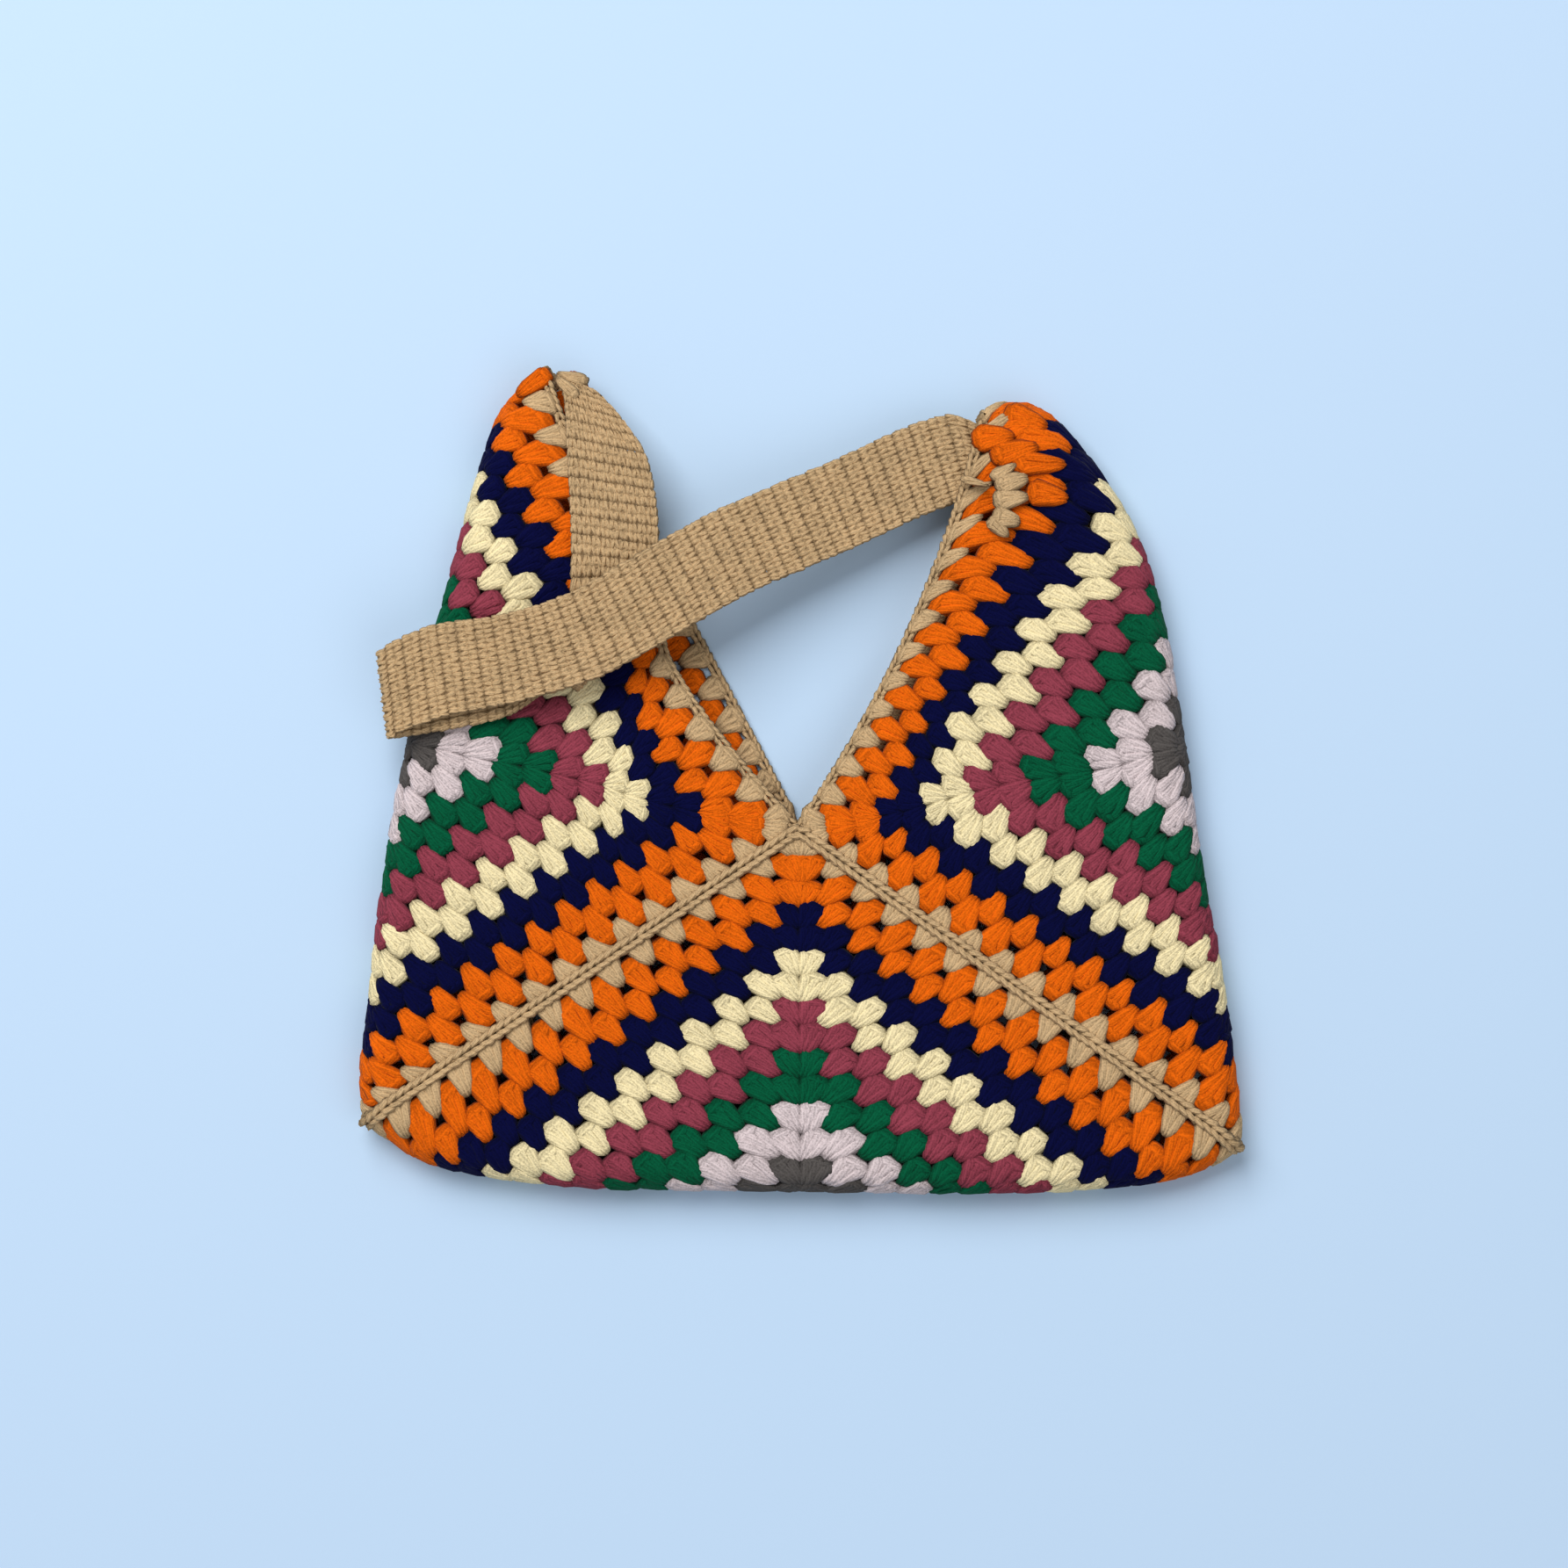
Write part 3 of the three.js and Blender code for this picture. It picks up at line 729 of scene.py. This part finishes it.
def path_marks(points):
    """How far along a path each of its points lies."""
    steps = np.linalg.norm(np.diff(points, axis=0), axis=1)
    return np.concatenate([[0], np.cumsum(steps)])


def sampled(at, marks, values):
    return np.stack([np.interp(at, marks, values[:, axis]) for axis in range(3)], axis=-1)


# %% Laying chain links along a line
def lay_links(name, line, spacing, size, front_lift=0.0):
    """Links of a size, about a spacing apart. Those on the front may be lifted."""
    points, normals = line
    lift = np.where(np.arange(len(points)) < len(points) / 2, front_lift, 0.0)
    points = points + normals * lift[:, None]
    closed = np.concatenate([points, points[:1]])
    closed_normals = np.concatenate([normals, normals[:1]])
    marks = path_marks(closed)
    count = round(marks[-1] / spacing)
    at = np.arange(count) * marks[-1] / count
    middle = sampled(at, marks, closed)
    out = unit(sampled(at, marks, closed_normals))
    along = unit(np.roll(middle, -1, axis=0) - np.roll(middle, 1, axis=0))
    out = unit(out - along * np.sum(out * along, axis=1, keepdims=True))
    across = np.cross(along, out)
    own = stitch_corners(LINK) * size
    corners = (
        middle[:, None, :]
        + own[None, :, 0:1] * across[:, None, :]
        + own[None, :, 1:2] * along[:, None, :]
        + own[None, :, 2:3] * out[:, None, :]
    )
    piece = joined_stitches(name, LINK, corners, np.zeros(count, dtype=int), ["beige"])
    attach(piece, "root")
    return piece


# %% The joining seam
SEAM_LINK_LENGTH = 5.0 * MM
SEAM_LIFT = 2.2 * MM

seam_line = edge_line(
    [
        ("bottom_square", "front b", "to throat"),
        ("bottom_square", "front a", "from throat"),
        ("bottom_square", "back b", "to throat"),
        ("bottom_square", "back a", "from throat"),
    ]
)
seam = lay_links("joining_seam_links", seam_line, SEAM_LINK_LENGTH, 1.0, SEAM_LIFT)
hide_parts("joining_seam")

# %% The mouth edging
EDGING_LINK_LENGTH = 4.3 * MM
EDGING_LINK_SIZE = 0.72

edging_line = edge_line(
    [
        ("left_square", "front b", "to throat"),
        ("right_square", "front b", "from throat"),
        ("right_square", "back a", "to throat"),
        ("left_square", "back a", "from throat"),
    ]
)
edging = lay_links("mouth_edging_links", edging_line, EDGING_LINK_LENGTH, EDGING_LINK_SIZE)
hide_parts("mouth_edging")

# %% [markdown]
# ## The strap
# The strap is a flat band of single crochet, worked back and forth across its width.
# It leaves the left tip, lies down over the bag, folds on the slant under itself,
# turns over at the far left and crosses to the right tip. Its stations follow those
# of the solid model: the middle of the strap, the direction of the line across it,
# the length of that line and the layer it lies in. Only at its two ends is it broader
# here, and at the first it lies higher, as the gathered clusters hide where it goes in.

# %% Stations of the strap: across, up, turn in degrees, wide, lift in layers
STRAP_LEG_DOWN = [
    (-0.2537, 0.4765, -25, 0.5, -1.3),
    (-0.235, 0.4455, -18, 0.66, -0.5),
    (-0.218, 0.3975, -12, 0.92, 0.15),
    (-0.21, 0.3285, -8, 1, 0),
    (-0.208, 0.2625, -6, 1, 0),
    (-0.208, 0.2055, 18, 1.1, 0),
    (-0.208, 0.1635, 45, 1.41, 0),
]
STRAP_LEG_LEFT = [
    (-0.208, 0.1635, 45, 1.41, 1),
    (-0.244, 0.1635, 66, 1.12, 1),
    (-0.281, 0.1525, 80, 1, 0.7),
    (-0.336, 0.1275, 99, 1, 0.1),
    (-0.396, 0.1125, 98, 1, 0),
    (-0.459, 0.1015, 97, 1, 0),
]
STRAP_LEG_ACROSS = [
    (-0.459, 0.1065, 97, 1, 1),
    (-0.406, 0.1285, 98, 1.04, 1.1),
    (-0.331, 0.1425, 100, 1, 1.4),
    (-0.251, 0.1665, 110, 1, 2.1),
    (-0.196, 0.1965, 116, 1, 2.15),
    (-0.136, 0.2345, 117, 1, 1.9),
    (-0.066, 0.2755, 115, 1, 1.1),
    (0.049, 0.3295, 111, 1, -0.4),
    (0.124, 0.3675, 109, 1, -1.3),
    (0.167, 0.3845, 107, 1, -1.75),
    (0.192, 0.3885, 106, 0.95, -1.8),
    (0.22, 0.3845, 104, 0.7, -1.9),
]

# %% The strap's surface
LEG_STEPS = 12
FOLD_STEPS = 10


def strap_row(station):
    across, up, turn, wide, lift = station
    on_front = FABRIC_THICKNESS + 2 * ROLL_RADIUS + CLEARANCE + STRAP_THICKNESS / 2
    middle = np.append(flat_point((across, up)), on_front + lift * 2 * STRAP_FOLD_RADIUS)
    reach = wide * STRAP_WIDTH / 2
    half = reach * np.array([math.cos(math.radians(turn)), math.sin(math.radians(turn)), 0])
    return np.stack([middle - half, middle + half])


def strap_leg(stations):
    """Rows of both rims of the strap, smoothed between the stations."""
    rows = np.array([strap_row(station) for station in stations])
    marks = np.arange(len(rows))
    fine = np.linspace(0, len(rows) - 1, (len(rows) - 1) * LEG_STEPS + 1)
    smooth = np.empty((len(fine), 2, 3))
    for edge in range(2):
        for axis in range(3):
            table = list(zip(marks / marks[-1], rows[:, edge, axis]))
            smooth[:, edge, axis] = table_value(table, 1, fine / marks[-1])
    return smooth


def strap_fold(row, heading):
    """Rows of the half turn that lifts the strap over itself, on the side of heading."""
    across = row[1] - row[0]
    outward = unit(np.array([across[1], -across[0], 0]))
    outward *= np.sign(outward @ np.array(heading))
    angles = np.pi * np.arange(1, FOLD_STEPS) / FOLD_STEPS
    moves = STRAP_FOLD_RADIUS * (
        np.sin(angles)[:, None] * outward + (1 - np.cos(angles))[:, None] * np.array([0, 0, 1])
    )
    return row[None] + moves[:, None, :]


down, left, over = (strap_leg(leg) for leg in (STRAP_LEG_DOWN, STRAP_LEG_LEFT, STRAP_LEG_ACROSS))
strap_rows = np.concatenate(
    [down, strap_fold(down[-1], (1, -1, 0)), left, strap_fold(left[-1], (-1, 0, 0)), over]
)
strap_middle = strap_rows.mean(axis=1)
strap_marks = path_marks(strap_middle)
strap_length = strap_marks[-1]
print("strap length mm:", round(strap_length / MM))

# %% Placing stitches on the strap
STRAP_STITCHES = 9
STRAP_ROW_HEIGHT = 4.7 * MM
STRAP_PAIR_SHIFT = 0.35 * MM
STRAP_JITTER = 0.1 * MM

along_strap = np.gradient(strap_middle, axis=0)
strap_out = unit(np.cross(strap_rows[:, 1] - strap_rows[:, 0], along_strap))
ROW_COUNT = round(strap_length / STRAP_ROW_HEIGHT)


def strap_point(distance, share, lift):
    """distance runs along the strap, share from 0 to 1 across it."""
    low = sampled(distance, strap_marks, strap_rows[:, 0])
    high = sampled(distance, strap_marks, strap_rows[:, 1])
    out = sampled(distance, strap_marks, strap_out)
    return low + (high - low) * share[..., None] + unit(out) * lift[..., None]


def lay_on_strap(stitch, rows, shares, upright):
    """Each copy lies in a row, at a share across. Rows lie in pairs, and upright -1
    turns a copy half round, because every other row is worked from the other side."""
    own = np.repeat(stitch_corners(stitch)[None], len(rows), axis=0)
    own[..., :2] *= upright[:, None, None]
    jitter = rng.normal(0, STRAP_JITTER, (len(rows), 2))
    paired = np.where(rows % 2 == 0, STRAP_PAIR_SHIFT, -STRAP_PAIR_SHIFT)[:, None]
    distance = (rows[:, None] + 0.5) * strap_length / ROW_COUNT + own[..., 1] + jitter[:, 0:1]
    distance = distance + paired
    share = shares[:, None] + (own[..., 0] + jitter[:, 1:2]) / STRAP_WIDTH
    return strap_point(distance, share, own[..., 2])


print("rows of the strap:", ROW_COUNT)

# %% Rows of single crochet along the strap
rows, columns = (grid.ravel() for grid in np.indices((ROW_COUNT, STRAP_STITCHES)))
strap_corners = lay_on_strap(
    SINGLE, rows, (columns + 0.5) / STRAP_STITCHES, np.where(rows % 2 == 0, 1.0, -1.0)
)
# The strap's painted shade between its stitches is shallower.
strap = joined_stitches(
    "strap_stitches", SINGLE, strap_corners, np.zeros(len(rows), dtype=int), ["beige"],
    painted_shade=0.7,
)
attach(strap, "root")
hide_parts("strap")

# %% The strap's rims
rows, sides = (grid.ravel() for grid in np.indices((ROW_COUNT, 2)))
rim_corners = lay_on_strap(RIM, rows, sides * 1.0, np.where(sides == 0, 1.0, -1.0))
rim_yarns = np.zeros(len(rows), dtype=int)
rims = joined_stitches("strap_rims", RIM, rim_corners, rim_yarns, ["beige"])
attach(rims, "root")

# %% [markdown]
# ## Gathers at the tips
# Where the strap starts, the corners of the squares are bunched: clusters of the last
# rounds lean over the strap's ends. Each is given from its foot to its head,
# because no rule of the pattern gives their places.

# %% Clusters laid from foot to head, in millimetres
TIP_CLUSTERS = [
    ("orange", (-142, 192, 24), (-125, 204, 24), 0.8),
    ("orange", (-116, 196, 14), (-110, 203, 14), 0.9),
    ("orange", (-118, 183, 11), (-120, 196, 11), 0.8),
    ("beige", (-122, 203, 24), (-106, 199, 23), 0.5),
    ("beige", (-122, 201, 25), (-111, 190, 28), 0.5),
    ("orange", (124, 176, 24), (102, 184, 24), 0.95),
    ("orange", (107, 171, 28), (86, 170, 28), 1.05),
    ("orange", (119, 166, 28), (95, 161, 29), 1.0),
    ("orange", (133, 157, 27), (105, 158, 29), 0.95),
    ("orange", (134, 140, 27), (113, 144, 28), 1.0),
    ("beige", (114, 150, 29), (97, 147, 31), 0.9),
    ("beige", (114, 141, 29), (96, 139, 31), 0.85),
    ("beige", (110, 128, 28), (96, 132, 31), 0.85),
    ("beige", (104, 121, 28), (94, 130, 31), 0.6),
    ("beige", (108, 157, 30), (95, 150, 31), 0.5),
    ("beige", (94, 146, 33), (80, 150, 32), 0.3),
]

# The cluster's own foot and length, between the rounded ends of its posts.
CLUSTER_FOOT = -7.3 * MM
CLUSTER_LENGTH = 18.3 * MM


def laid_cluster(foot, head, wide):
    """Corners of one cluster from foot to head, with its width times wide."""
    foot = np.array(foot) * MM
    head = np.array(head) * MM
    along = (head - foot) / CLUSTER_LENGTH
    across = unit(np.cross(along, [0, 0, 1])) * wide
    out = unit(np.cross(across, along))
    own = stitch_corners(CLUSTER)
    up = (own[:, 1:2] - CLUSTER_FOOT) * along
    return foot + own[:, 0:1] * across + up + own[:, 2:3] * out


tip_corners = np.stack([laid_cluster(*row[1:]) for row in TIP_CLUSTERS])
tip_yarns = ["orange", "beige"]
tip_numbers = [tip_yarns.index(row[0]) for row in TIP_CLUSTERS]
tips = joined_stitches("tip_gathers", CLUSTER, tip_corners, tip_numbers, tip_yarns)
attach(tips, "root")

# %% [markdown]
# ## Studio
# The floor is a plain pale blue sheet, as in the photograph. A large soft light from
# the upper left models the stitches, and a weaker one opens the shadows.

# %% Floor
FLOOR_SIZE = 6.0
floor_shape = bmesh.new()
bmesh.ops.create_grid(floor_shape, x_segments=1, y_segments=1, size=FLOOR_SIZE / 2)
floor_mesh = bpy.data.meshes.new("floor")
floor_shape.to_mesh(floor_mesh)
floor_shape.free()
floor = bpy.data.objects.new("floor", floor_mesh)
bpy.context.scene.collection.objects.link(floor)
# Uncoated paper: dead matt, so the floor shows only soft shadows.
paper = bpy.data.materials.new("matt_paper_pale_blue")
paper.use_nodes = True
paper_shader = paper.node_tree.nodes["Principled BSDF"]
paper_shader.inputs["Base Color"].default_value = linear_colour("#bdd5ed")
paper_shader.inputs["Roughness"].default_value = 0.95
floor_mesh.materials.append(paper)

# %% Lights
def add_area_light(name, place, size, power):
    data = bpy.data.lights.new(name, "AREA")
    data.size = size
    data.energy = power
    light = bpy.data.objects.new(name, data)
    light.location = place
    light.rotation_euler = (-light.location).to_track_quat("-Z", "Y").to_euler()
    bpy.context.scene.collection.objects.link(light)


add_area_light("key_light", (-1.2, 1.9, 2.9), 2.6, 132)
add_area_light("fill_light", (1.4, -1.6, 3.2), 3.0, 30)
world = bpy.data.worlds.new("studio")
world.use_nodes = True
background = world.node_tree.nodes["Background"]
background.inputs["Color"].default_value = linear_colour("#eef3fa")
background.inputs["Strength"].default_value = 0.34
bpy.context.scene.world = world
bpy.context.scene.view_settings.view_transform = "Standard"

# %% Camera
FRAME_WIDTH = 785.4 * MM
VIEW_CENTRE = (-8.1 * MM, -2.6 * MM)
VIEW_PLANE = 24 * MM
camera_data = bpy.data.cameras.new("camera")
camera_data.lens = 85
camera_distance = FRAME_WIDTH * camera_data.lens / camera_data.sensor_width
camera = bpy.data.objects.new("camera", camera_data)
camera.location = (VIEW_CENTRE[0], VIEW_CENTRE[1], VIEW_PLANE + camera_distance)
bpy.context.scene.collection.objects.link(camera)
bpy.context.scene.camera = camera
print("camera height mm:", round(camera.location.z / MM))
